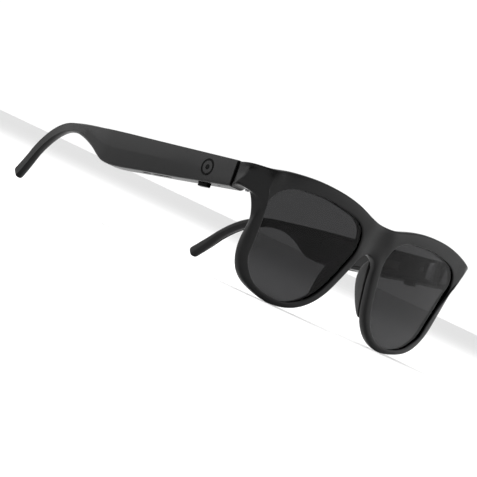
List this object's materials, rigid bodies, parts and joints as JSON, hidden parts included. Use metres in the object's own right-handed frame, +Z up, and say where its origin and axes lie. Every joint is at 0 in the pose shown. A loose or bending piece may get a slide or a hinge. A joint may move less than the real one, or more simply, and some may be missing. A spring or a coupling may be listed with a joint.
{
  "type": "smart glasses",
  "caption": "Full-rim smart glasses with tinted lenses, folding temples that hold a speaker, battery and button, and ear hooks that bend down and inward.",
  "frame": {"origin": "centre of the bounding box, on the ground that the rims and the temple tips stand on", "axes": "+X toward the wearer's left, +Y from the front back along the temples, +Z up"},
  "size_m": [0.1398, 0.1572, 0.0516],
  "materials": {
    "matte_black": "satin black moulded nylon",
    "tinted_lens": "dark grey tinted lens, polished",
    "steel": "plain steel",
    "gloss_black": "gloss black",
    "rubber": "soft black",
    "battery_wrap": "grey foil wrap",
    "board": "green solder mask",
    "gold": "gold plated contact",
    "copper_film": "copper film",
    "mesh_cloth": "fine black mesh",
    "light_guide": "clear light guide"
  },
  "bodies": {
    "front": {"front_frame": "matte_black", "lens_right": "tinted_lens", "nose_pad_right": "rubber", "hinge_front_leaf_right": "steel", "hinge_front_screw_right": "steel", "hinge_pin_right": "steel", "lens_left": "tinted_lens", "nose_pad_left": "rubber", "hinge_front_leaf_left": "steel", "hinge_front_screw_left": "steel", "hinge_pin_left": "steel"},
    "temple_right": {"temple_housing_right": "matte_black", "temple_cover_right": "matte_black", "cover_seal_right": "rubber", "tact_switch_right": "steel", "speaker_mesh_right": "mesh_cloth", "speaker_driver_right": "steel", "touch_ring_right": "gloss_black", "touch_dot_right": "gloss_black", "touch_sensor_right": "copper_film", "antenna_right": "copper_film", "main_board_right": "board", "battery_right": "battery_wrap", "microphone_right": "steel", "status_light_right": "light_guide", "charging_contact_right": "gold", "hinge_temple_leaf_right": "steel", "hinge_temple_screw_right": "steel"},
    "temple_left": {"temple_housing_left": "matte_black", "temple_cover_left": "matte_black", "cover_seal_left": "rubber", "tact_switch_left": "steel", "speaker_mesh_left": "mesh_cloth", "speaker_driver_left": "steel", "touch_ring_left": "gloss_black", "touch_dot_left": "gloss_black", "touch_sensor_left": "copper_film", "antenna_left": "copper_film", "main_board_left": "board", "battery_left": "battery_wrap", "microphone_left": "steel", "status_light_left": "light_guide", "charging_contact_left": "gold", "hinge_temple_leaf_left": "steel", "hinge_temple_screw_left": "steel"},
    "button_cap_right": {"button_right": "gloss_black"},
    "button_cap_left": {"button_left": "gloss_black"}
  },
  "joints": [
    {"name": "temple_right_fold", "type": "hinge", "parent": "front", "child": "temple_right", "pos_m": [-0.0596, -0.05903, 0.03995], "axis": [-0.0872, -0.1306, -0.9876], "range_deg": [0, 54]},
    {"name": "temple_left_fold", "type": "hinge", "parent": "front", "child": "temple_left", "pos_m": [0.0596, -0.05903, 0.03995], "axis": [-0.0872, 0.1306, 0.9876], "range_deg": [0, 88]},
    {"name": "button_right_press", "type": "slide", "parent": "temple_right", "child": "button_cap_right", "axis": [0, 0.1783, 0.984], "range_m": [0, 0.0004], "stiffness_N_per_m": 300},
    {"name": "button_left_press", "type": "slide", "parent": "temple_left", "child": "button_cap_left", "axis": [0, 0.1783, 0.984], "range_m": [0, 0.0004], "stiffness_N_per_m": 300}
  ]
}
